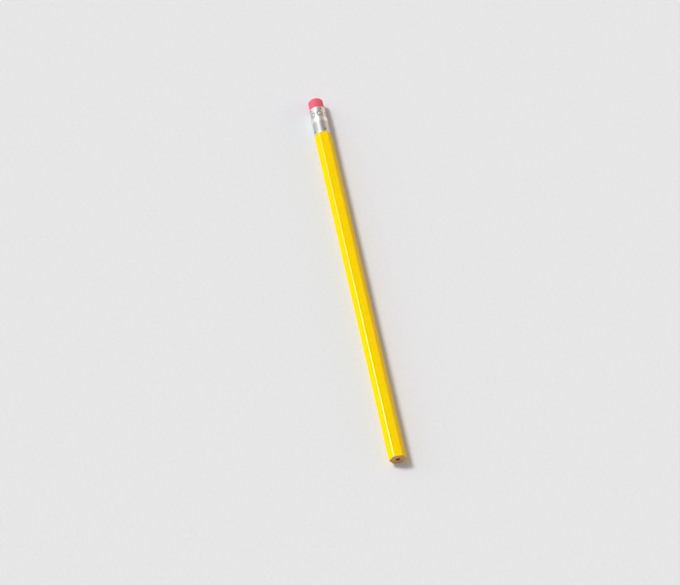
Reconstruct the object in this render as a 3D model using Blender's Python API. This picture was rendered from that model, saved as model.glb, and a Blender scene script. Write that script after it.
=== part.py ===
"""Wood-cased graphite pencil, new and unsharpened, with a ferrule and an eraser.

The pencil lies along X on one flat of its hexagon, the eraser towards +X and the sawn writing end
towards -X. +Z is up. The origin is under the middle of the length, at the height of the ferrule's
rims, which are the lowest points of the pencil. Lengths are in metres.
"""
import math

import bmesh
import bpy
from mathutils import Matrix, Vector

MM = 0.001

# Body: a lacquered hexagon with rounded long edges
PENCIL_LENGTH = 190.0 * MM
ACROSS_FLATS = 7.0 * MM
EDGE_RADIUS = 0.8 * MM
LACQUER_THICKNESS = 0.12 * MM

# Core and glue, between the two slats
CORE_RADIUS = 1.1 * MM
GLUE_THICKNESS = 0.06 * MM
FIT_GAP = 0.02 * MM  # between two faces that are glued or pressed together

# Eraser, and how far the ferrule reaches over the wood
ERASER_EXPOSED = 5.35 * MM
ERASER_RADIUS = 3.42 * MM  # where it is free; inside the ferrule it is squeezed
ERASER_END_ROUNDING = 0.9 * MM
ERASER_NECK = 0.35 * MM  # length over which it swells out of the ferrule
TENON_LENGTH = 6.3 * MM
PLUG_GAP = 0.3 * MM  # between the tenon and the eraser's inner end

# Ferrule: a drawn tube with raised bands, and one row of pressed dimples
FERRULE_LENGTH = 13.9 * MM
FERRULE_RADIUS = 3.6 * MM
FERRULE_WALL = 0.28 * MM
BAND_RISE = 0.1 * MM  # height of the end rims and the middle band
RIM_WIDTH = 0.9 * MM
MIDDLE_BAND_CENTRE = 6.5 * MM  # from the ferrule's eraser end
MIDDLE_BAND_WIDTH = 2.1 * MM
RIB_COUNT = 4
RIB_RISE = 0.05 * MM
FIRST_RIB_CENTRE = 8.5 * MM
RIB_PITCH = 1.25 * MM
RIB_WIDTH = 0.8 * RIB_PITCH
DIMPLE_COUNT = 6
DIMPLE_CENTRE = 3.6 * MM
DIMPLE_DEPTH = 0.12 * MM
DIMPLE_BALL_RADIUS = 2.8 * MM

# Stations along X and the height of the pencil's axis
SAWN_END = -PENCIL_LENGTH / 2
ERASER_END = PENCIL_LENGTH / 2
FERRULE_END = ERASER_END - ERASER_EXPOSED
SHOULDER = FERRULE_END - FERRULE_LENGTH
TENON_END = SHOULDER + TENON_LENGTH
AXIS_HEIGHT = FERRULE_RADIUS + BAND_RISE

# Sizes that follow
FERRULE_BORE_RADIUS = FERRULE_RADIUS - FERRULE_WALL
TENON_RADIUS = FERRULE_BORE_RADIUS - FIT_GAP
WOOD_INSET = LACQUER_THICKNESS + FIT_GAP
SLAT_FACE = GLUE_THICKNESS / 2 + FIT_GAP  # height of a slat's glued face from the axis

# Smoothness
ROUND_SIDES = 60
CORE_SIDES = 30
EDGE_STEPS = 6
BAND_STEPS = 4
ROUNDING_STEPS = 6
OVERSHOOT = 1.0 * MM  # how far a cutter runs past what it cuts
SHARP_ANGLE = math.radians(35)

# Colour, roughness and metallic value of each sub-part's material
FINISHES = {
    "upper_slat": ((0.50, 0.29, 0.15), 0.75, 0.0),
    "lower_slat": ((0.46, 0.26, 0.13), 0.75, 0.0),
    "left_glue_line": ((0.62, 0.53, 0.36), 0.5, 0.0),
    "right_glue_line": ((0.62, 0.53, 0.36), 0.5, 0.0),
    "graphite_core": ((0.045, 0.042, 0.045), 0.4, 0.3),
    "lacquer_coat": ((0.90, 0.62, 0.01), 0.22, 0.0),
    "ferrule": ((0.78, 0.78, 0.77), 0.28, 1.0),
    "eraser": ((0.80, 0.18, 0.23), 0.7, 0.0),
}


def clear_scene():
    for old in list(bpy.data.objects):
        bpy.data.objects.remove(old)


def add_object(name, shape):
    """Puts a bmesh into the scene as a named object, shaded smooth except at its sharp edges."""
    bmesh.ops.recalc_face_normals(shape, faces=shape.faces)
    mesh = bpy.data.meshes.new(name)
    shape.to_mesh(mesh)
    shape.free()
    mesh.shade_smooth()
    mesh.set_sharp_from_angle(angle=SHARP_ANGLE)
    made = bpy.data.objects.new(name, mesh)
    bpy.context.scene.collection.objects.link(made)
    return made


def as_cutter(tool):
    tool.hide_render = True
    tool.display_type = "WIRE"
    return tool


def cut(part, tool):
    difference = part.modifiers.new("cut_by_" + tool.name, "BOOLEAN")
    difference.operation = "DIFFERENCE"
    difference.object = tool


def prism(points, along):
    """The solid that a flat outline sweeps when it is pushed along a vector."""
    shape = bmesh.new()
    base = shape.faces.new([shape.verts.new(point) for point in points])
    pushed = bmesh.ops.extrude_face_region(shape, geom=[base])["geom"]
    moved = [item for item in pushed if isinstance(item, bmesh.types.BMVert)]
    bmesh.ops.translate(shape, verts=moved, vec=along)
    return shape


def turned(profile, sides, closed=False):
    """A profile of (x, radius) points turned about the pencil's axis.

    An open profile starts and ends on the axis. A closed one makes a ring.
    """
    shape = bmesh.new()
    verts = [shape.verts.new((x, 0, AXIS_HEIGHT + radius)) for x, radius in profile]
    edges = [shape.edges.new(pair) for pair in zip(verts, verts[1:])]
    if closed:
        edges.append(shape.edges.new((verts[-1], verts[0])))
    bmesh.ops.spin(shape, geom=verts + edges, cent=(0, 0, AXIS_HEIGHT), axis=(1, 0, 0),
                   angle=math.tau, steps=sides, use_merge=True)
    bmesh.ops.remove_doubles(shape, verts=shape.verts, dist=0.001 * MM)
    return shape


def rod(start, end, radius, sides):
    return turned([(start, 0), (start, radius), (end, radius), (end, 0)], sides)


def hexagon(x, inset=0.0):
    """The body's outline at a station, offset inwards, with flats on top and below."""
    half_flats = ACROSS_FLATS / 2 - inset
    rounding = EDGE_RADIUS - inset
    corner_angle = math.radians(30)
    arc_centre = (half_flats - rounding) / math.cos(corner_angle)
    points = []
    for corner in range(6):
        middle = corner * math.radians(60)
        for step in range(EDGE_STEPS + 1):
            angle = middle + corner_angle * (2 * step / EDGE_STEPS - 1)
            y = arc_centre * math.cos(middle) + rounding * math.cos(angle)
            z = arc_centre * math.sin(middle) + rounding * math.sin(angle)
            points.append((x, y, AXIS_HEIGHT + z))
    return points


def wood_corner_distance():
    """From the axis to the rounded corner of the wood."""
    rounding = EDGE_RADIUS - WOOD_INSET
    half_flats = ACROSS_FLATS / 2 - WOOD_INSET
    return (half_flats - rounding) / math.cos(math.radians(30)) + rounding


def make_slat(name, side, groove_cutter, tenon_cutter):
    """Half of the wood casing, above the axis for side 1 and below it for side -1."""
    blank = prism(hexagon(SAWN_END, WOOD_INSET), (TENON_END - SAWN_END, 0, 0))
    parting = Vector((0, 0, AXIS_HEIGHT + side * SLAT_FACE))
    sawn = bmesh.ops.bisect_plane(blank, geom=blank.verts[:] + blank.edges[:] + blank.faces[:],
                                  plane_co=parting, plane_no=(0, 0, -side), clear_outer=True)
    rim = [item for item in sawn["geom_cut"] if isinstance(item, bmesh.types.BMEdge)]
    bmesh.ops.contextual_create(blank, geom=rim)
    slat = add_object(name, blank)
    cut(slat, groove_cutter)
    cut(slat, tenon_cutter)


def make_slats():
    groove = rod(SAWN_END - OVERSHOOT, TENON_END + OVERSHOOT, CORE_RADIUS + FIT_GAP, CORE_SIDES)
    groove_cutter = as_cutter(add_object("groove_cutter", groove))
    ring_end = TENON_END + OVERSHOOT
    ring_outer = ACROSS_FLATS
    ring = [(SHOULDER, TENON_RADIUS), (ring_end, TENON_RADIUS),
            (ring_end, ring_outer), (SHOULDER, ring_outer)]
    tenon_cutter = as_cutter(add_object("tenon_cutter", turned(ring, ROUND_SIDES, closed=True)))
    make_slat("upper_slat", 1, groove_cutter, tenon_cutter)
    make_slat("lower_slat", -1, groove_cutter, tenon_cutter)


def make_glue_line(name, side):
    """The film between the slats on one side of the core, narrower where it is in the tenon."""
    inner = CORE_RADIUS + FIT_GAP
    in_body = wood_corner_distance() - FIT_GAP / 2
    in_tenon = TENON_RADIUS - FIT_GAP / 2
    plan = [(SAWN_END, inner), (SAWN_END, in_body), (SHOULDER, in_body),
            (SHOULDER, in_tenon), (TENON_END, in_tenon), (TENON_END, inner)]
    underside = AXIS_HEIGHT - GLUE_THICKNESS / 2
    points = [(x, side * y, underside) for x, y in plan]
    add_object(name, prism(points, (0, 0, GLUE_THICKNESS)))


def make_core():
    add_object("graphite_core", rod(SAWN_END, TENON_END, CORE_RADIUS, CORE_SIDES))


def make_lacquer():
    """The skin of the hexagon, open at the sawn end and at the shoulder."""
    coat = add_object("lacquer_coat", prism(hexagon(SAWN_END), (SHOULDER - SAWN_END, 0, 0)))
    bore_start = SAWN_END - OVERSHOOT
    bore_length = SHOULDER - SAWN_END + 2 * OVERSHOOT
    bore = prism(hexagon(bore_start, LACQUER_THICKNESS), (bore_length, 0, 0))
    cut(coat, as_cutter(add_object("lacquer_bore_cutter", bore)))


def band(centre, width, rise):
    """Profile points of one raised band of the ferrule, a half wave from foot to foot."""
    points = []
    for step in range(BAND_STEPS + 1):
        share = step / BAND_STEPS
        x = FERRULE_END - centre + width * (0.5 - share)
        points.append((x, FERRULE_RADIUS + rise * math.sin(math.pi * share)))
    return points


def ferrule_outside():
    """The ferrule's outer profile from its eraser end to its wood end."""
    crests = [(RIM_WIDTH / 2, RIM_WIDTH, BAND_RISE),
              (MIDDLE_BAND_CENTRE, MIDDLE_BAND_WIDTH, BAND_RISE)]
    for rib in range(RIB_COUNT):
        crests.append((FIRST_RIB_CENTRE + rib * RIB_PITCH, RIB_WIDTH, RIB_RISE))
    crests.append((FERRULE_LENGTH - FIT_GAP - RIM_WIDTH / 2, RIM_WIDTH, BAND_RISE))
    return [point for crest in crests for point in band(*crest)]


def make_ferrule():
    outside = ferrule_outside()
    inside = [(outside[-1][0], FERRULE_BORE_RADIUS), (outside[0][0], FERRULE_BORE_RADIUS)]
    ferrule = add_object("ferrule", turned(outside + inside, ROUND_SIDES, closed=True))
    balls = bmesh.new()
    reach = FERRULE_RADIUS - DIMPLE_DEPTH + DIMPLE_BALL_RADIUS
    for index in range(DIMPLE_COUNT):
        turn = Matrix.Rotation(math.tau * index / DIMPLE_COUNT, 4, "X")
        offset = turn @ Vector((0, 0, reach))
        centre = Vector((FERRULE_END - DIMPLE_CENTRE, 0, AXIS_HEIGHT)) + offset
        bmesh.ops.create_icosphere(balls, subdivisions=4, radius=DIMPLE_BALL_RADIUS,
                                   matrix=Matrix.Translation(centre) @ turn)
    cut(ferrule, as_cutter(add_object("dimple_cutter", balls)))


def make_eraser():
    squeezed = FERRULE_BORE_RADIUS - FIT_GAP
    neck_start = FERRULE_END + FIT_GAP
    profile = [(TENON_END + PLUG_GAP, 0), (TENON_END + PLUG_GAP, squeezed),
               (neck_start, squeezed), (neck_start + ERASER_NECK, ERASER_RADIUS)]
    for step in range(ROUNDING_STEPS + 1):
        angle = math.radians(90) * step / ROUNDING_STEPS
        x = ERASER_END - ERASER_END_ROUNDING * (1 - math.sin(angle))
        radius = ERASER_RADIUS - ERASER_END_ROUNDING * (1 - math.cos(angle))
        profile.append((x, radius))
    profile.append((ERASER_END, 0))
    add_object("eraser", turned(profile, ROUND_SIDES))


def add_materials():
    for name, (colour, roughness, metallic) in FINISHES.items():
        material = bpy.data.materials.new(name)
        material.use_nodes = True
        surface = material.node_tree.nodes["Principled BSDF"]
        surface.inputs["Base Color"].default_value = (*colour, 1.0)
        surface.inputs["Roughness"].default_value = roughness
        surface.inputs["Metallic"].default_value = metallic
        bpy.data.objects[name].data.materials.append(material)


def main():
    clear_scene()
    make_slats()
    make_glue_line("left_glue_line", 1)
    make_glue_line("right_glue_line", -1)
    make_core()
    make_lacquer()
    make_ferrule()
    make_eraser()
    add_materials()


main()
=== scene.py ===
"""The looks of an unsharpened graphite pencil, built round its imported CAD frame.

The pencil lies along X on one flat, with the eraser towards +X and the sawn writing end towards -X.
Lengths are in metres; MM turns millimetres into metres. Shader coordinates are in millimetres.
"""
import math

import bmesh
import bpy
import numpy as np
from mathutils import Matrix, Vector, noise


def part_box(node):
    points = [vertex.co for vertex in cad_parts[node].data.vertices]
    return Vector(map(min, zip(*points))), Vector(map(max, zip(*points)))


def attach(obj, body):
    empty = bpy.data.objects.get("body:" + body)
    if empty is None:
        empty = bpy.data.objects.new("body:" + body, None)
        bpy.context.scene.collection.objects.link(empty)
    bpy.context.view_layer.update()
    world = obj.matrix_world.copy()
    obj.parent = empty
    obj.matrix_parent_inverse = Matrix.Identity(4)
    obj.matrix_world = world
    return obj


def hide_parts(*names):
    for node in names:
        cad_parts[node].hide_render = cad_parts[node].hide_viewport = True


MM = 0.001
BODY = "root"

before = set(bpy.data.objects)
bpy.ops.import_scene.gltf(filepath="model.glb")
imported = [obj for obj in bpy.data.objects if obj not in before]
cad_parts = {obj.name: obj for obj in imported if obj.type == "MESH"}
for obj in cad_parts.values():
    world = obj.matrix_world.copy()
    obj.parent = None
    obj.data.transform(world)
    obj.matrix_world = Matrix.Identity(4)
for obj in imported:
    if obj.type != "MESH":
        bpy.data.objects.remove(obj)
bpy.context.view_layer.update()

# Places and sizes read from the CAD frame
COAT_LOW, COAT_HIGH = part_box("lacquer_coat")
FERRULE_LOW, FERRULE_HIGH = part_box("ferrule")
ERASER_LOW, ERASER_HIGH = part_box("eraser")
CORE_LOW, CORE_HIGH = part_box("graphite_core")
_, SLAT_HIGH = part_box("upper_slat")
GLUE_LOW, GLUE_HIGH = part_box("left_glue_line")
SAWN_END = COAT_LOW.x
SHOULDER = COAT_HIGH.x
TENON_END = CORE_HIGH.x
AXIS_Z = (COAT_LOW.z + COAT_HIGH.z) / 2
HALF_FLATS = (COAT_HIGH.z - COAT_LOW.z) / 2
HALF_CORNERS = (COAT_HIGH.y - COAT_LOW.y) / 2
HALF_GLUE = (GLUE_HIGH.z - GLUE_LOW.z) / 2
CORE_RADIUS = (CORE_HIGH.z - CORE_LOW.z) / 2
RIM_RADIUS = (FERRULE_HIGH.z - FERRULE_LOW.z) / 2
FERRULE_LENGTH = FERRULE_HIGH.x - FERRULE_LOW.x
ERASER_RADIUS = (ERASER_HIGH.z - ERASER_LOW.z) / 2
TO_EDGE = math.radians(30)  # round the axis, from the middle of a flat to an edge
COS_30 = math.cos(TO_EDGE)
# The rounding that brings the corners of a sharp hexagon in to HALF_CORNERS
EDGE_RADIUS = (HALF_FLATS / COS_30 - HALF_CORNERS) / (1 / COS_30 - 1)
COAT_THICKNESS = AXIS_Z + HALF_FLATS - SLAT_HIGH.z
PRESS_GAP = 0.02 * MM  # between bonded or pressed pieces, as in the CAD

# Lacquer: how far its end edges are rounded off at each depth, then its sections and unevenness
END_DEPTHS = np.array([0.0, 0.012, 0.03, 0.06, 0.12, 0.25, 0.5]) * MM
END_ROUNDING = np.array([0.045, 0.02, 0.008, 0.0, 0.0, 0.0, 0.0]) * MM
END_MARGIN = 1.0 * MM  # the evenly spaced sections stop this far from the ends
BODY_SECTIONS = 150
CHIP_SIZE = 0.35 * MM
CHIP_DEPTH = 0.09 * MM
CHIP_REACH = 0.5 * MM  # the chips draw the sections in over this length
SAWN_SETBACK = 0.004 * MM  # the lacquer's sawn edge lies this far behind the wood's
WAVE_SIZE = 2.5 * MM
WAVE_HEIGHT = 0.004 * MM
WAVE_STRETCH = 0.25  # the waves are four times as long along the pencil as across it

# Ferrule: heights of its bands over the plain tube, and their places from its eraser end
BAND_RISE = 0.1 * MM
TUBE_RADIUS = RIM_RADIUS - BAND_RISE
TUBE_WALL = 0.28 * MM
BORE_RADIUS = TUBE_RADIUS - TUBE_WALL
RIM_WIDTH = 0.9 * MM
RIM_FLANK = 0.4 * MM
MIDDLE_BAND_CENTRE = 6.5 * MM
MIDDLE_BAND_WIDTH = 2.1 * MM
BAND_FLANK = 0.35 * MM
RIB_COUNT = 4
RIB_RISE = 0.075 * MM
RIB_PITCH = 1.25 * MM
FIRST_RIB = 8.4 * MM
DULL_SHADE_FADE = 0.6 * MM  # past the middle band, the length over which the metal turns dull and darker with painted groove shade
LIP_ROUNDING = 0.12 * MM
LIP_RINGS = 5
LIP_MARGIN = 0.2 * MM  # the evenly spaced rings stop this far from the lips
FERRULE_RINGS = 170
FERRULE_AROUND = 264
DIMPLE_COUNT = 6
DIMPLE_CENTRE = 3.65 * MM
DIMPLE_PHASE = math.radians(-7.5)
DIMPLE_RING_RADIUS = 0.97 * MM
DIMPLE_RING_WIDTH = 0.36 * MM
DIMPLE_DEPTH = 0.16 * MM
DIMPLE_DOME_RADIUS = 0.5 * MM
DIMPLE_DOME = 0.05 * MM
DIMPLE_PAINTED_SHADE = 0.42  # share of painted shade in the trough round each dimple
DIMPLE_PAINTED_HIGHLIGHT = 0.5  # share of painted highlight on its domed middle
PRICK_COUNT = 4
PRICK_CENTRES = (0.95 * MM, 12.4 * MM)
PRICK_PHASE = math.radians(-21)
PRICK_RADIUS = 0.42 * MM
PRICK_DEPTH = 0.17 * MM
DENT_SIZE = 1.6 * MM
DENT_HEIGHT = 0.006 * MM  # handling marks and unevenness of the thin tube

# Eraser: the plug inside the ferrule, the neck where it swells, its barrel and its face
PLUG_RADIUS = BORE_RADIUS - PRESS_GAP
PLUG_ROUNDING = 0.2 * MM
PLUG_CAP = 0.05 * MM  # radius of the flat cap that closes its hidden end
MOUTH_MARGIN = 0.1 * MM  # its squeezed part stops this far inside the ferrule's mouth
NECK_START = 0.02 * MM
NECK_LENGTH = 0.45 * MM
BARREL_MARGINS = (0.2 * MM, 0.1 * MM)  # the barrel's rings stop this far from neck and rounding
ERASER_ROUNDING = 1.25 * MM
ERASER_DOME = 0.06 * MM
FACE_MARGIN = 0.03 * MM  # room for the face's unevenness
FACE_SHARES = (0.9, 0.02)  # the outermost and innermost ring of the face, as shares of its radius
NECK_RINGS, BARREL_RINGS, ROUNDING_RINGS, FACE_RINGS = 7, 22, 14, 14
ERASER_AROUND = 180
ERASER_UNEVENNESS = 0.018 * MM
LUMP_SIZE = 1.3 * MM
FINE_LUMP_SIZE = 0.5 * MM
FINE_LUMP_SHARE = 0.5
FACE_LUMP_SHARE = 0.7

# Core and wood
CORE_CAP = 0.02 * MM  # radius of the flat caps that close its ends
CORE_SETBACK = 0.012 * MM  # its sawn face lies this far behind the wood's
CORE_FACE_SHARES = (0.3, 0.6, 0.9)
CORE_EDGE = ((0.03 * MM, 0.008 * MM), (0.07 * MM, 0.0))  # its broken edge: depth along X, and inwards
CORE_CHAMFER = 0.05 * MM  # at its hidden end
TENON_RADIUS = BORE_RADIUS - PRESS_GAP
WOOD_GAP = 0.001 * MM  # the wood stays this far off the lacquer and the glue
GROOVE_GAP = 0.003 * MM  # and this far off the core
CUT_OVERSHOOT = 1.0 * MM  # the cutters reach this far past the wood
CUT_AROUND = 96
CARVE_MERGE = 0.0005 * MM  # points this close are one, after a cut
# For each slat: its side of the glue, where its growth rings are centred in millimetres, its colour
WOODS = {"upper_slat": (1, (0.0, 38.0, 71.0), (0.635, 0.35, 0.135)),
         "lower_slat": (-1, (0.0, -64.0, 44.0), (0.58, 0.315, 0.115))}

# Colours, linear
LACQUER_DEEP = (0.80, 0.56, 0.0015)
LACQUER_LIGHT = (0.84, 0.60, 0.002)
LACQUER_STREAK = (0.81, 0.525, 0.0015)
LACQUER_EDGE = (0.88, 0.63, 0.012)
METAL_STAINED = (0.78, 0.78, 0.77)
METAL_CLEAN = (0.86, 0.86, 0.85)
# polish on the raised bands, and painted highlight on the dimple domes
METAL_POLISH_AND_HIGHLIGHT = (0.95, 0.95, 0.94)
# duller metal with painted shade of the fine grooves, for the ribbed zone
METAL_DULL_AND_SHADED = (0.66, 0.66, 0.65)
# painted shade in the dimple troughs and the punch marks
METAL_PAINTED_SHADE = (0.12, 0.12, 0.115)
RUBBER_DEEP = (0.65, 0.088, 0.135)
RUBBER_LIGHT = (0.72, 0.112, 0.165)
RUBBER_SPECK = (0.95, 0.5, 0.52)
GRAPHITE_DARK = (0.016, 0.013, 0.012)
GRAPHITE_LIGHT = (0.06, 0.053, 0.05)
GLUE_DEEP = (0.42, 0.3, 0.17)
GLUE_LIGHT = (0.56, 0.42, 0.26)
FLOOR_DEEP = (0.67, 0.68, 0.70)
FLOOR_LIGHT = (0.70, 0.71, 0.73)

# Camera: what it looks at, and the direction it looks from
CAMERA_TARGET = (-7.8 * MM, 8.5 * MM, 3.7 * MM)
CAMERA_AZIMUTH = 257.0
CAMERA_ELEVATION = 59.85
CAMERA_ROLL = 2.1
CAMERA_DISTANCE = 1.5
CAMERA_LENS = 177.0
CAMERA_SENSOR = 36.0
CAMERA_CLIP = (0.01, 50.0)

# Setting. Each light: azimuth, elevation, strength, colour, and its apparent width in degrees
FLOOR_REACH = 8.0
LIGHTS = {"key_light": (142.0, 51.0, 2.3, (0.985, 1.0, 1.0), 13.0),
          "side_light": (150.0, 5.0, 0.62, (1.0, 1.0, 1.0), 50.0),
          "fill_light": (-18.0, 13.0, 1.2, (1.0, 0.62, 0.38), 50.0)}
SOFTBOX_DIRECTION = (145, 42)
SOFTBOX_EDGE = 0.60  # cosine of the angle between its middle and its edge
SOFTBOX_COLOUR = (1.15, 1.15, 1.14)
# The room's colour from the horizon up to overhead, by the height of the direction
ROOM = [(0.0, (0.85, 0.85, 0.86)), (0.10, (0.80, 0.80, 0.81)),
        (0.30, (0.22, 0.22, 0.23)), (1.0, (0.28, 0.28, 0.29))]


# ---------------------------------------------------------------- mesh building

def put_in_scene(name, data):
    """A new object that holds a mesh, a light or a camera."""
    made = bpy.data.objects.new(name, data)
    bpy.context.scene.collection.objects.link(made)
    return made


def add_piece(name, mesh, material, node, sharp_degrees=40.0):
    """Shades a mesh, adds it as a piece of the pencil and hides the CAD node that it stands for."""
    mesh.shade_smooth()
    mesh.set_sharp_from_angle(angle=math.radians(sharp_degrees))
    mesh.materials.clear()
    mesh.materials.append(material)
    piece = put_in_scene(name, mesh)
    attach(piece, BODY)
    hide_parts(node)


def ring_mesh(name, rings, closed):
    """A mesh of rings of points, each joined to the next.

    closed joins the last ring to the first, as in a tube with a wall. Otherwise both ends are capped.
    """
    rings = np.asarray(rings, float)
    count, around = rings.shape[:2]
    index = np.arange(count * around).reshape(count, around)
    here = index if closed else index[:-1]
    there = np.roll(index, -1, axis=0) if closed else index[1:]
    quads = np.stack([here, np.roll(here, -1, 1), np.roll(there, -1, 1), there], axis=-1)
    faces = quads.reshape(-1, 4).tolist()
    if not closed:
        faces += [index[0].tolist(), index[-1].tolist()]
    mesh = bpy.data.meshes.new(name)
    mesh.from_pydata(rings.reshape(-1, 3).tolist(), [], faces)
    shape = bmesh.new()
    shape.from_mesh(mesh)
    bmesh.ops.recalc_face_normals(shape, faces=shape.faces)
    shape.to_mesh(mesh)
    shape.free()
    return mesh


def add_attribute(mesh, name, values):
    """Stores one number for each vertex, for the material to read."""
    layer = mesh.attributes.new(name, "FLOAT", "POINT")
    layer.data.foreach_set("value", np.asarray(values, np.float32).ravel())


def turned_rings(stations, radii, angles):
    """Rings about the pencil's axis. radii is one number, or has a row for each station."""
    radii = np.broadcast_to(radii, (len(stations), len(angles)))
    x = np.broadcast_to(np.asarray(stations)[:, None], radii.shape)
    return np.stack([x, radii * np.sin(angles), AXIS_Z + radii * np.cos(angles)], axis=-1)


def full_circle(count):
    return np.linspace(0, math.tau, count, endpoint=False)


def eased(share):
    """A share from 0 to 1 that starts and stops softly."""
    return share * share * (3 - 2 * share)


def unevenness(points, size, seed=0.0):
    """Smooth noise from about -1 to 1 at each point. Its lumps are about this size, in metres."""
    flat = np.asarray(points).reshape(-1, 3) / size
    values = [noise.noise(Vector(point) + Vector((seed, seed, seed))) for point in flat]
    return np.array(values).reshape(np.asarray(points).shape[:-1])


def hexagon_section(inset=0.0, edge_steps=10, flat_steps=6):
    """The body's outline: points and outward normals as (y, z), and how close each is to an edge.

    That closeness is 1 at the middle of a rounded edge and 0 on the flats.
    """
    half_flats, rounding = HALF_FLATS - inset, EDGE_RADIUS - inset
    points, normals, edge = [], [], []
    for corner in range(6):
        middle = math.radians(60 * corner)
        centre = (half_flats - rounding) / COS_30 * np.array([math.cos(middle), math.sin(middle)])
        for step in range(edge_steps + 1):
            share = 2 * step / edge_steps - 1
            angle = middle + TO_EDGE * share
            normal = np.array([math.cos(angle), math.sin(angle)])
            points.append(centre + rounding * normal)
            normals.append(normal)
            edge.append(1 - abs(share))
        along = np.array([-normals[-1][1], normals[-1][0]])
        flat_width = 2 * (half_flats - rounding) * math.tan(TO_EDGE)
        for _ in range(1, flat_steps):
            points.append(points[-1] + along * flat_width / flat_steps)
            normals.append(normals[-1])
            edge.append(0.0)
    return np.array(points), np.array(normals), np.array(edge)


# ---------------------------------------------------------------- shader building

def connect(tree, node, inputs):
    """Feeds a node's inputs, each with a value or with another node's output."""
    for key, value in inputs.items():
        if isinstance(value, bpy.types.NodeSocket):
            tree.links.new(value, node.inputs[key])
        else:
            node.inputs[key].default_value = value


def add_node(tree, kind, inputs=None, **settings):
    made = tree.nodes.new("ShaderNode" + kind)
    for key, value in settings.items():
        setattr(made, key, value)
    connect(tree, made, inputs or {})
    return made


def new_material(name):
    """A material with an empty Principled shader: (material, node tree, shader)."""
    material = bpy.data.materials.new(name)
    material.use_nodes = True
    tree = material.node_tree
    return material, tree, tree.nodes["Principled BSDF"]


def in_millimetres(tree, stretch=(1.0, 1.0, 1.0)):
    """Object coordinates in millimetres, times a factor along each axis."""
    place = add_node(tree, "TexCoord").outputs["Object"]
    scale = tuple(factor / MM for factor in stretch)
    return add_node(tree, "Mapping", {"Vector": place, "Scale": scale}).outputs["Vector"]


def noise_field(tree, place, scale, detail, roughness=0.5):
    inputs = {"Vector": place, "Scale": scale, "Detail": detail, "Roughness": roughness}
    return add_node(tree, "TexNoise", inputs).outputs["Fac"]


def cell_distance(tree, place, scale):
    """Distance from the middle of the nearest cell, for pores and grains."""
    return add_node(tree, "TexVoronoi", {"Vector": place, "Scale": scale}).outputs["Distance"]


def remap(tree, value, source, target):
    """Moves a value from one range to another, each a (low, high) pair."""
    inputs = {"Value": value, "From Min": source[0], "From Max": source[1],
              "To Min": target[0], "To Max": target[1]}
    return add_node(tree, "MapRange", inputs).outputs["Result"]


def maths(tree, operation, first, second=0.0):
    return add_node(tree, "Math", {0: first, 1: second}, operation=operation).outputs["Value"]


def vector_maths(tree, operation, inputs, output):
    return add_node(tree, "VectorMath", inputs, operation=operation).outputs[output]


def colour_ramp(tree, value, stops):
    """stops are (position, linear colour) pairs."""
    ramp = add_node(tree, "ValToRGB", {"Fac": value})
    elements = ramp.color_ramp.elements
    while len(elements) < len(stops):
        elements.new(0.5)
    for element, (position, colour) in zip(elements, stops):
        element.position = position
        element.color = (*colour, 1.0)
    return ramp.outputs["Color"]


def mix_colour(tree, share, first, second):
    """The colour from another node, moved by a share, also from a node, towards a second colour."""
    made = add_node(tree, "Mix", data_type="RGBA")
    sockets = {socket.identifier: socket for socket in made.inputs}
    tree.links.new(share, sockets["Factor_Float"])
    tree.links.new(first, sockets["A_Color"])
    sockets["B_Color"].default_value = (*second, 1.0)
    return next(socket for socket in made.outputs if socket.identifier == "Result_Color")


def bump(tree, height, distance, below=None):
    """A bump whose height of 1 stands for distance, in metres. below is the relief it lies on."""
    inputs = {"Height": height, "Distance": distance, "Strength": 1.0}
    if below is not None:
        inputs["Normal"] = below
    return add_node(tree, "Bump", inputs).outputs["Normal"]


def attribute(tree, name):
    return add_node(tree, "Attribute", attribute_name=name).outputs["Fac"]


def shaded(colour, factor):
    return tuple(channel * factor for channel in colour)


# ---------------------------------------------------------------- materials

def lacquer_material():
    """Glossy yellow pencil lacquer over fine wood grain."""
    material, tree, shader = new_material("yellow_lacquer")
    place = in_millimetres(tree)
    edge = attribute(tree, "edge")
    mottling = noise_field(tree, place, scale=0.35, detail=4.0)
    grain = noise_field(tree, in_millimetres(tree, (0.03, 1.0, 1.0)), scale=3.2, detail=3.0)
    scuffs = noise_field(tree, in_millimetres(tree, (0.25, 1.0, 1.0)), scale=2.6, detail=6.0)
    peel = noise_field(tree, place, scale=1.5, detail=1.0)
    base = colour_ramp(tree, mottling, [(0.3, LACQUER_DEEP), (0.7, LACQUER_LIGHT)])
    streaks = remap(tree, grain, (0.35, 0.75), (0.0, 0.16))
    streaked = mix_colour(tree, streaks, base, LACQUER_STREAK)
    edge_share = maths(tree, "MULTIPLY", edge, 0.3)
    relief = bump(tree, grain, 0.006 * MM)
    connect(tree, shader, {
        "Base Color": mix_colour(tree, edge_share, streaked, LACQUER_EDGE),
        "Roughness": remap(tree, scuffs, (0.35, 0.7), (0.26, 0.38)),
        "Coat Weight": remap(tree, edge, (0.03, 0.32), (0.02, 0.9)),
        "Coat Roughness": 0.165,
        "Normal": bump(tree, peel, 0.008 * MM, relief),
        "IOR": 1.06,
        "Subsurface Weight": 0.15,
        "Subsurface Radius": (1.0, 0.4, 0.1),
        "Subsurface Scale": 0.1 * MM,
    })
    return material


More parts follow.
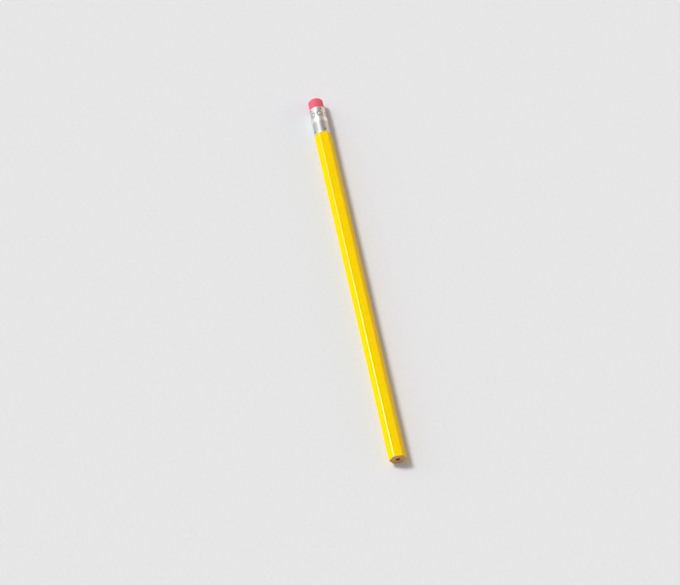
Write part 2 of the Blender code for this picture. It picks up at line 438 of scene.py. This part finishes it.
def ferrule_material():
    """Satin drawn aluminium, polished where raised, duller in the ribs; painted highlight on domes,
    painted shade in ribs and dents.
    """
    material, tree, shader = new_material("ferrule_aluminium")
    raised = attribute(tree, "raised")
    turning = noise_field(tree, in_millimetres(tree, (1.0, 0.05, 0.05)), scale=14.0, detail=4.0)
    drawing = noise_field(tree, in_millimetres(tree, (0.04, 1.0, 1.0)), scale=7.0, detail=3.0)
    stains = noise_field(tree, in_millimetres(tree), scale=0.7, detail=5.0, roughness=0.6)
    metal = colour_ramp(tree, stains, [(0.3, METAL_STAINED), (0.65, METAL_CLEAN)])
    # brighter where raised: polish on the bands, painted highlight on the dimple domes
    bright = mix_colour(tree, raised, metal, METAL_POLISH_AND_HIGHLIGHT)
    # the ribbed zone darker: duller metal and painted shade of its fine grooves
    dull_and_shade_share = maths(tree, "MULTIPLY", attribute(tree, "ribbed"), 0.75)
    dull_and_shaded = mix_colour(tree, dull_and_shade_share, bright, METAL_DULL_AND_SHADED)
    # painted shade in the dimple troughs and the punch marks
    painted_shade_share = maths(tree, "MULTIPLY", attribute(tree, "painted_recess_shade"), 0.85)
    satin = remap(tree, turning, (0.3, 0.7), (0.72, 0.81))
    polish = maths(tree, "MULTIPLY", raised, -0.06)
    lines = bump(tree, turning, 0.0016 * MM)
    round_tube = add_node(tree, "Tangent", direction_type="RADIAL", axis="X")
    connect(tree, shader, {
        "Base Color": mix_colour(tree, painted_shade_share, dull_and_shaded, METAL_PAINTED_SHADE),
        "Roughness": maths(tree, "ADD", satin, polish),
        "Normal": bump(tree, drawing, 0.002 * MM, lines),
        "Metallic": 1.0,
        "Tangent": round_tube.outputs["Tangent"],
        "Anisotropic": 0.78,
        "Anisotropic Rotation": 0.25,
    })
    return material


def eraser_material():
    """Pink rubber with fine pumice grains and a powdery skin."""
    material, tree, shader = new_material("eraser_rubber")
    place = in_millimetres(tree)
    clouds = noise_field(tree, place, scale=0.8, detail=4.0)
    tooth = noise_field(tree, place, scale=9.0, detail=3.0)
    base = colour_ramp(tree, clouds, [(0.3, RUBBER_DEEP), (0.7, RUBBER_LIGHT)])
    specks = remap(tree, cell_distance(tree, place, 3.4), (0.08, 0.2), (0.4, 0.0))
    connect(tree, shader, {
        "Base Color": mix_colour(tree, specks, base, RUBBER_SPECK),
        "Roughness": remap(tree, clouds, (0.3, 0.7), (0.62, 0.8)),
        "Normal": bump(tree, tooth, 0.012 * MM),
        "Specular IOR Level": 0.35,
        "Subsurface Weight": 0.2,
        "Subsurface Radius": (1.0, 0.3, 0.3),
        "Subsurface Scale": 0.8 * MM,
    })
    return material


def growth_rings(tree, flat, ring_centre, tint):
    """The wood's colour, from early wood to late, in rings round a far-off centre."""
    wobble = noise_field(tree, flat, scale=0.5, detail=2.0)
    away = vector_maths(tree, "SUBTRACT", {0: flat, 1: ring_centre}, "Vector")
    distance = vector_maths(tree, "LENGTH", {0: away}, "Value")
    wavy = maths(tree, "ADD", distance, maths(tree, "MULTIPLY", wobble, 0.5))
    phase = maths(tree, "FRACT", maths(tree, "MULTIPLY", wavy, 0.95))
    late_edge = shaded(tint, 0.72)
    return colour_ramp(tree, phase, [(0.0, late_edge), (0.12, tint), (0.62, shaded(tint, 1.04)),
                                     (0.93, shaded(tint, 0.62)), (1.0, late_edge)])


def wood_material(name, ring_centre, tint):
    """End grain with growth rings, pores and saw marks."""
    material, tree, shader = new_material(name)
    flat = in_millimetres(tree, (0.02, 1.0, 1.0))
    wood = growth_rings(tree, flat, ring_centre, tint)
    pores = remap(tree, cell_distance(tree, flat, 7.5), (0.05, 0.2), (0.75, 0.0))
    pored = mix_colour(tree, pores, wood, shaded(tint, 0.4))
    sawing = noise_field(tree, in_millimetres(tree, (1.0, 0.15, 1.6)), scale=5.0, detail=4.0)
    saw_marks = remap(tree, sawing, (0.4, 0.75), (0.0, 0.35))
    fibres = noise_field(tree, in_millimetres(tree), scale=12.0, detail=2.0)
    relief = bump(tree, sawing, 0.03 * MM)
    connect(tree, shader, {
        "Base Color": mix_colour(tree, saw_marks, pored, shaded(tint, 1.25)),
        "Roughness": 0.78,
        "Normal": bump(tree, fibres, 0.02 * MM, relief),
    })
    return material


def graphite_material():
    """Fired graphite, smeared by the saw: dark grey with a dull metallic sheen."""
    material, tree, shader = new_material("graphite")
    smear = noise_field(tree, in_millimetres(tree, (1.0, 0.3, 2.0)), scale=4.0, detail=5.0)
    grit = noise_field(tree, in_millimetres(tree), scale=16.0, detail=2.0)
    connect(tree, shader, {
        "Base Color": colour_ramp(tree, smear, [(0.3, GRAPHITE_DARK), (0.75, GRAPHITE_LIGHT)]),
        "Roughness": remap(tree, smear, (0.3, 0.7), (0.55, 0.36)),
        "Normal": bump(tree, grit, 0.012 * MM),
        "Metallic": 0.35,
    })
    return material


def glue_material():
    """Cured pale glue, slightly translucent."""
    material, tree, shader = new_material("cured_glue")
    spots = noise_field(tree, in_millimetres(tree), scale=3.0, detail=3.0)
    connect(tree, shader, {
        "Base Color": colour_ramp(tree, spots, [(0.3, GLUE_DEEP), (0.7, GLUE_LIGHT)]),
        "Roughness": 0.45,
        "Subsurface Weight": 0.3,
        "Subsurface Scale": 0.3 * MM,
    })
    return material


def floor_material():
    """Plain pale matt board."""
    material, tree, shader = new_material("pale_floor")
    fibre = noise_field(tree, in_millimetres(tree), scale=0.6, detail=5.0)
    connect(tree, shader, {
        "Base Color": colour_ramp(tree, fibre, [(0.3, FLOOR_DEEP), (0.7, FLOOR_LIGHT)]),
        "Roughness": 0.9,
        "Specular IOR Level": 0.2,
    })
    return material


# ---------------------------------------------------------------- lacquered body

def chipped_sections(stations, outline):
    """Where the points of each section lie along X: small chips break the sawn edge."""
    x = np.repeat(stations[:, None], len(outline), axis=1)
    at_rim = np.stack([np.zeros(len(outline)), outline[:, 0], outline[:, 1]], axis=-1)
    chips = np.clip(unevenness(at_rim, CHIP_SIZE), 0, 1) ** 2 * CHIP_DEPTH
    fade = np.clip(1 - (x - SAWN_END) / CHIP_REACH, 0, 1)
    return x + fade * (chips + SAWN_SETBACK)


def lacquer_waves(x, outline):
    """How far the lacquer lies off its outline at each point. It is never outside it."""
    y = np.broadcast_to(outline[:, 0], x.shape)
    z = np.broadcast_to(outline[:, 1], x.shape)
    places = np.stack([x * WAVE_STRETCH, y, z], axis=-1)
    return (unevenness(places, WAVE_SIZE, seed=7.0) - 1) * WAVE_HEIGHT


def lacquered_body():
    """The lacquer skin: softly rounded edges, faint waves along the flats, a broken sawn edge."""
    outline, normals, edge = hexagon_section()
    inner, _, _ = hexagon_section(COAT_THICKNESS)
    middle = np.linspace(SAWN_END + END_MARGIN, SHOULDER - END_MARGIN, BODY_SECTIONS)
    stations = np.concatenate([SAWN_END + END_DEPTHS, middle, (SHOULDER - END_DEPTHS)[::-1]])
    sunk = np.concatenate([END_ROUNDING, np.zeros(len(middle)), END_ROUNDING[::-1]])
    x = chipped_sections(stations, outline)
    offset = lacquer_waves(x, outline) - sunk[:, None]
    y = outline[:, 0] + normals[:, 0] * offset
    z = AXIS_Z + outline[:, 1] + normals[:, 1] * offset
    outer = np.stack([x, y, z], axis=-1)
    bore = []
    for bore_x in (np.full(len(inner), SHOULDER), x[0]):
        bore.append(np.stack([bore_x, inner[:, 0], AXIS_Z + inner[:, 1]], axis=-1))
    mesh = ring_mesh("lacquered_body", np.concatenate([outer, np.array(bore)]), closed=True)
    on_edge = [np.tile(edge, len(stations)), np.zeros(len(bore) * len(inner))]
    add_attribute(mesh, "edge", np.concatenate(on_edge))
    add_piece("lacquered_body", mesh, lacquer_material(), "lacquer_coat")


# ---------------------------------------------------------------- ferrule

def bead(place, centre, width, rise):
    """Height of a rounded ring that meets the tube in a sharp line on either side."""
    inside = np.clip((place - centre) / width, -0.5, 0.5)
    return rise * np.cos(math.pi * inside)


def plateau(place, centre, width, flank, rise):
    """Height of a flat-topped ring with smooth flanks."""
    return rise * eased(np.clip((width / 2 - np.abs(place - centre)) / flank, 0, 1))


def arc_from(angles, middle):
    """Distance round the tube from each angle to a middle one, in metres."""
    return (np.mod(angles - middle + math.pi, math.tau) - math.pi) * TUBE_RADIUS


def pressed_dimples(place, angles):
    """The row of dents that grips the eraser: the shares that are round trough and domed middle."""
    trough, dome = 0.0, 0.0
    for index in range(DIMPLE_COUNT):
        arc = arc_from(angles, DIMPLE_PHASE + math.tau * index / DIMPLE_COUNT)
        reach = np.hypot(place - DIMPLE_CENTRE, arc)
        trough = trough + np.exp(-((reach - DIMPLE_RING_RADIUS) / DIMPLE_RING_WIDTH) ** 2)
        dome = dome + np.exp(-(reach / DIMPLE_DOME_RADIUS) ** 2)
    return trough, dome


def punch_marks(place, angles):
    """Small dents near both ends, which hold the ferrule on: 1 at the middle of each."""
    marks = 0.0
    for centre in PRICK_CENTRES:
        for index in range(PRICK_COUNT):
            arc = arc_from(angles, PRICK_PHASE + math.tau * index / PRICK_COUNT)
            marks = marks + np.exp(-(np.hypot(place - centre, arc) / PRICK_RADIUS) ** 2)
    return marks


def ferrule_relief(place, angles):
    """Height of the ferrule's surface over its plain tube, its share of painted shade and its share
    of polish and painted highlight.
    """
    height = plateau(place, RIM_WIDTH / 2, RIM_WIDTH, RIM_FLANK, BAND_RISE)
    height = height + plateau(place, FERRULE_LENGTH - RIM_WIDTH / 2, RIM_WIDTH, RIM_FLANK, BAND_RISE)
    height = height + plateau(place, MIDDLE_BAND_CENTRE, MIDDLE_BAND_WIDTH, BAND_FLANK, BAND_RISE)
    for rib in range(RIB_COUNT):
        height = height + bead(place, FIRST_RIB + rib * RIB_PITCH, RIB_PITCH, RIB_RISE)
    trough, dome = pressed_dimples(place, angles)
    marks = punch_marks(place, angles)
    # brighter where raised: polish on the bands, painted highlight on the dimple domes
    polish_and_highlight = np.clip(np.maximum(height / BAND_RISE, DIMPLE_PAINTED_HIGHLIGHT * dome), 0, 1)
    # painted shade in the troughs round the dimples and in the punch marks
    painted_shade = np.clip(np.maximum(DIMPLE_PAINTED_SHADE * trough, marks), 0, 1)
    height = height - DIMPLE_DEPTH * trough + DIMPLE_DOME * dome - PRICK_DEPTH * marks
    return height, painted_shade, polish_and_highlight


def crimped_ferrule():
    """The aluminium tube: rolled rims, a row of pressed dimples, a middle band and fine ribs."""
    angles = full_circle(FERRULE_AROUND)
    near_lip = LIP_ROUNDING * (1 - np.cos(np.linspace(0, math.pi / 2, LIP_RINGS)))
    middle = np.linspace(LIP_MARGIN, FERRULE_LENGTH - LIP_MARGIN, FERRULE_RINGS)
    place = np.concatenate([near_lip, middle, (FERRULE_LENGTH - near_lip)[::-1]])
    from_lip = np.minimum(place, FERRULE_LENGTH - place)
    short = np.clip(1 - from_lip / LIP_ROUNDING, 0, 1)
    lip = LIP_ROUNDING * (1 - np.sqrt(1 - short ** 2))
    relief, painted_shade, polish_and_highlight = ferrule_relief(place[:, None], angles[None, :])
    radii = TUBE_RADIUS + relief - lip[:, None]
    stations = FERRULE_HIGH.x - place
    undented = turned_rings(stations, radii, angles)
    radii = radii + DENT_HEIGHT * (unevenness(undented, DENT_SIZE, seed=3.0) - 1)
    outer = turned_rings(stations, radii, angles)
    bore = turned_rings([FERRULE_LOW.x, FERRULE_HIGH.x], BORE_RADIUS, angles)
    mesh = ring_mesh("crimped_ferrule", np.concatenate([outer, bore]), closed=True)
    past_band = place - MIDDLE_BAND_CENTRE - MIDDLE_BAND_WIDTH / 2
    ribbed = np.clip(past_band / DULL_SHADE_FADE, 0, 1) * np.clip(from_lip / RIM_WIDTH, 0, 1)
    ribbed = np.broadcast_to(ribbed[:, None], relief.shape)
    in_bore = np.zeros(2 * len(angles))
    # painted shade in the dents, polish and painted highlight where raised, painted groove shade in
    # the ribbed zone
    for name, share in (("painted_recess_shade", painted_shade), ("raised", polish_and_highlight), ("ribbed", ribbed)):
        add_attribute(mesh, name, np.concatenate([share.ravel(), in_bore]))
    add_piece("crimped_ferrule", mesh, ferrule_material(), "ferrule")


# ---------------------------------------------------------------- eraser

def eraser_profile():
    """Half the plug's outline, from its hidden end to its face, as (x, radius)."""
    mouth = FERRULE_HIGH.x
    free = ERASER_RADIUS - ERASER_UNEVENNESS
    straight_end = ERASER_HIGH.x - ERASER_ROUNDING
    profile = [(ERASER_LOW.x, PLUG_CAP), (ERASER_LOW.x, PLUG_RADIUS - PLUG_ROUNDING),
               (ERASER_LOW.x + PLUG_ROUNDING, PLUG_RADIUS), (mouth - MOUTH_MARGIN, PLUG_RADIUS)]
    for share in np.linspace(0, 1, NECK_RINGS):
        swell = (free - PLUG_RADIUS) * eased(share)
        profile.append((mouth + NECK_START + NECK_LENGTH * share, PLUG_RADIUS + swell))
    barrel_start = profile[-1][0] + BARREL_MARGINS[0]
    for x in np.linspace(barrel_start, straight_end - BARREL_MARGINS[1], BARREL_RINGS):
        profile.append((x, free))
    for turn in np.linspace(0, math.pi / 2, ROUNDING_RINGS):
        profile.append((straight_end + (ERASER_ROUNDING - ERASER_DOME) * math.sin(turn),
                        free - ERASER_ROUNDING * (1 - math.cos(turn))))
    rim_x, face_radius = profile[-1]
    for share in np.linspace(*FACE_SHARES, FACE_RINGS):
        dome = (ERASER_DOME - FACE_MARGIN) * (1 - share ** 2)
        profile.append((rim_x + dome, face_radius * share))
    return np.array(profile)


def eraser_plug():
    """The rubber plug, squeezed inside the ferrule and rounded at its free end."""
    angles = full_circle(ERASER_AROUND)
    profile = eraser_profile()
    x, radii = profile[:, 0], profile[:, 1:]
    smooth = turned_rings(x, radii, angles)
    lumps = unevenness(smooth, LUMP_SIZE, seed=11.0)
    lumps = lumps + FINE_LUMP_SHARE * unevenness(smooth, FINE_LUMP_SIZE, seed=5.0)
    shown = (x > FERRULE_HIGH.x)[:, None]
    lumps = np.where(shown, lumps * ERASER_UNEVENNESS / (1 + FINE_LUMP_SHARE), 0)
    free = ERASER_RADIUS - ERASER_UNEVENNESS
    rings = turned_rings(x, radii * (1 + lumps / free), angles)
    rings[-FACE_RINGS:, :, 0] += lumps[-FACE_RINGS:] * FACE_LUMP_SHARE
    mesh = ring_mesh("eraser_plug", rings, closed=False)
    add_piece("eraser_plug", mesh, eraser_material(), "eraser")


# ---------------------------------------------------------------- core, wood and glue

def core_rod():
    """The graphite core, its sawn edge just broken."""
    face_x = SAWN_END + CORE_SETBACK
    profile = [(face_x, CORE_CAP)]
    profile += [(face_x, CORE_RADIUS * share) for share in CORE_FACE_SHARES]
    profile += [(SAWN_END + depth, CORE_RADIUS - inwards) for depth, inwards in CORE_EDGE]
    profile += [(TENON_END - CORE_CHAMFER, CORE_RADIUS), (TENON_END, CORE_RADIUS - CORE_CHAMFER)]
    profile += [(TENON_END, CORE_CAP)]
    profile = np.array(profile)
    rings = turned_rings(profile[:, 0], profile[:, 1:], full_circle(CUT_AROUND))
    mesh = ring_mesh("core_rod", rings, closed=False)
    add_piece("core_rod", mesh, graphite_material(), "graphite_core", 50.0)


def prism_object(name, outline, start, end):
    """A closed prism along X over a (y, z) outline about the axis, as a helper object."""
    ends = []
    for x in (start, end):
        ends.append([(x, y, AXIS_Z + z) for y, z in outline])
    return put_in_scene(name, ring_mesh(name, ends, closed=False))


def round_outline(radius):
    angles = full_circle(CUT_AROUND)
    return np.stack([radius * np.cos(angles), radius * np.sin(angles)], axis=-1)


def tenon_ring():
    """What the lathe takes off the hexagon behind the shoulder, as a helper object."""
    stations = [SHOULDER, TENON_END + CUT_OVERSHOOT]
    angles = full_circle(CUT_AROUND)
    inner = turned_rings(stations, TENON_RADIUS, angles)
    outer = turned_rings(stations[::-1], 2 * HALF_CORNERS, angles)
    rings = np.concatenate([inner, outer])
    return put_in_scene("tenon_ring", ring_mesh("tenon_ring", rings, closed=True))


def carve(blank, cutters):
    """The blank's mesh with the cutters taken out of it. The blank object goes."""
    for cutter in cutters:
        cut = blank.modifiers.new("cut", "BOOLEAN")
        cut.operation = "DIFFERENCE"
        cut.object = cutter
    bpy.context.view_layer.update()
    graph = bpy.context.evaluated_depsgraph_get()
    carved = bpy.data.meshes.new_from_object(blank.evaluated_get(graph))
    bpy.data.objects.remove(blank)
    shape = bmesh.new()
    shape.from_mesh(carved)
    bmesh.ops.remove_doubles(shape, verts=shape.verts, dist=CARVE_MERGE)
    bmesh.ops.dissolve_degenerate(shape, edges=shape.edges, dist=CARVE_MERGE)
    shape.to_mesh(carved)
    shape.free()
    return carved


def wooden_slats():
    """Both halves of the casing, each glued face against the glue film and the core."""
    outline, _, _ = hexagon_section(COAT_THICKNESS + WOOD_GAP)
    glue_face = HALF_GLUE + WOOD_GAP
    cut_ends = (SAWN_END - CUT_OVERSHOOT, TENON_END + CUT_OVERSHOOT)
    groove = prism_object("groove", round_outline(CORE_RADIUS + GROOVE_GAP), *cut_ends)
    ring = tenon_ring()
    reach = 2 * HALF_CORNERS
    for node, (side, ring_centre, tint) in WOODS.items():
        corners = [(-reach, -side * reach), (reach, -side * reach),
                   (reach, side * glue_face), (-reach, side * glue_face)]
        other_half = prism_object("other_half", corners[::side], *cut_ends)
        blank = prism_object("blank", outline, SAWN_END, TENON_END)
        mesh = carve(blank, [other_half, groove, ring])
        bpy.data.objects.remove(other_half)
        material = wood_material(node + "_wood", ring_centre, tint)
        add_piece(node.replace("slat", "wood"), mesh, material, node, 30.0)
    for helper in (groove, ring):
        bpy.data.objects.remove(helper)


def glue_lines():
    """The CAD glue films keep their shape and get their finish."""
    finish = glue_material()
    for node in ("left_glue_line", "right_glue_line"):
        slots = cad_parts[node].data.materials
        slots.clear()
        slots.append(finish)


# ---------------------------------------------------------------- setting

def towards(azimuth, elevation):
    """The unit vector to a light or camera. Azimuth 0 is the -Y side and 90 the +X side."""
    turn, lift = math.radians(azimuth), math.radians(elevation)
    level = math.cos(lift)
    return Vector((math.sin(turn) * level, -math.cos(turn) * level, math.sin(lift)))


def add_floor():
    mesh = bpy.data.meshes.new("floor")
    corners = [(x * FLOOR_REACH, y * FLOOR_REACH, 0) for x, y in ((-1, -1), (1, -1), (1, 1), (-1, 1))]
    mesh.from_pydata(corners, [], [(0, 1, 2, 3)])
    mesh.materials.append(floor_material())
    floor = put_in_scene("floor", mesh)


def add_sun(name, azimuth, elevation, strength, colour, width):
    """A soft light from far away."""
    light = bpy.data.lights.new(name, "SUN")
    light.energy = strength
    light.color = colour
    light.angle = math.radians(width)
    lamp = put_in_scene(name, light)
    lamp.rotation_mode = "QUATERNION"
    lamp.rotation_quaternion = towards(azimuth, elevation).to_track_quat("Z", "Y")


def add_lights():
    for name, setting in LIGHTS.items():
        add_sun(name, *setting)


def add_surroundings():
    """A pale room, darker overhead, with a wide softbox round the main light."""
    world = bpy.data.worlds.new("studio")
    bpy.context.scene.world = world
    world.use_nodes = True
    tree = world.node_tree
    direction = add_node(tree, "TexCoord").outputs["Generated"]
    height = add_node(tree, "SeparateXYZ", {"Vector": direction}).outputs["Z"]
    middle = tuple(towards(*SOFTBOX_DIRECTION))
    facing = vector_maths(tree, "DOT_PRODUCT", {0: direction, 1: middle}, "Value")
    softbox = remap(tree, facing, (SOFTBOX_EDGE, 1.0), (0.0, 1.0))
    lit = mix_colour(tree, softbox, colour_ramp(tree, height, ROOM), SOFTBOX_COLOUR)
    connect(tree, tree.nodes["Background"], {"Color": lit, "Strength": 1.0})


def add_camera():
    """The camera, turned about its own axis by the roll."""
    back = towards(CAMERA_AZIMUTH, CAMERA_ELEVATION)
    camera = bpy.data.cameras.new("camera")
    camera.lens = CAMERA_LENS
    camera.sensor_width = CAMERA_SENSOR
    camera.clip_start, camera.clip_end = CAMERA_CLIP
    placed = put_in_scene("camera", camera)
    placed.location = Vector(CAMERA_TARGET) + back * CAMERA_DISTANCE
    roll = Matrix.Rotation(math.radians(CAMERA_ROLL), 4, "Z")
    facing = back.to_track_quat("Z", "Y").to_matrix().to_4x4()
    placed.rotation_euler = (facing @ roll).to_euler()
    bpy.context.scene.camera = placed


add_camera()
lacquered_body()
crimped_ferrule()
eraser_plug()
core_rod()
wooden_slats()
glue_lines()
add_floor()
add_surroundings()
add_lights()
bpy.context.scene.view_settings.view_transform = "Standard"
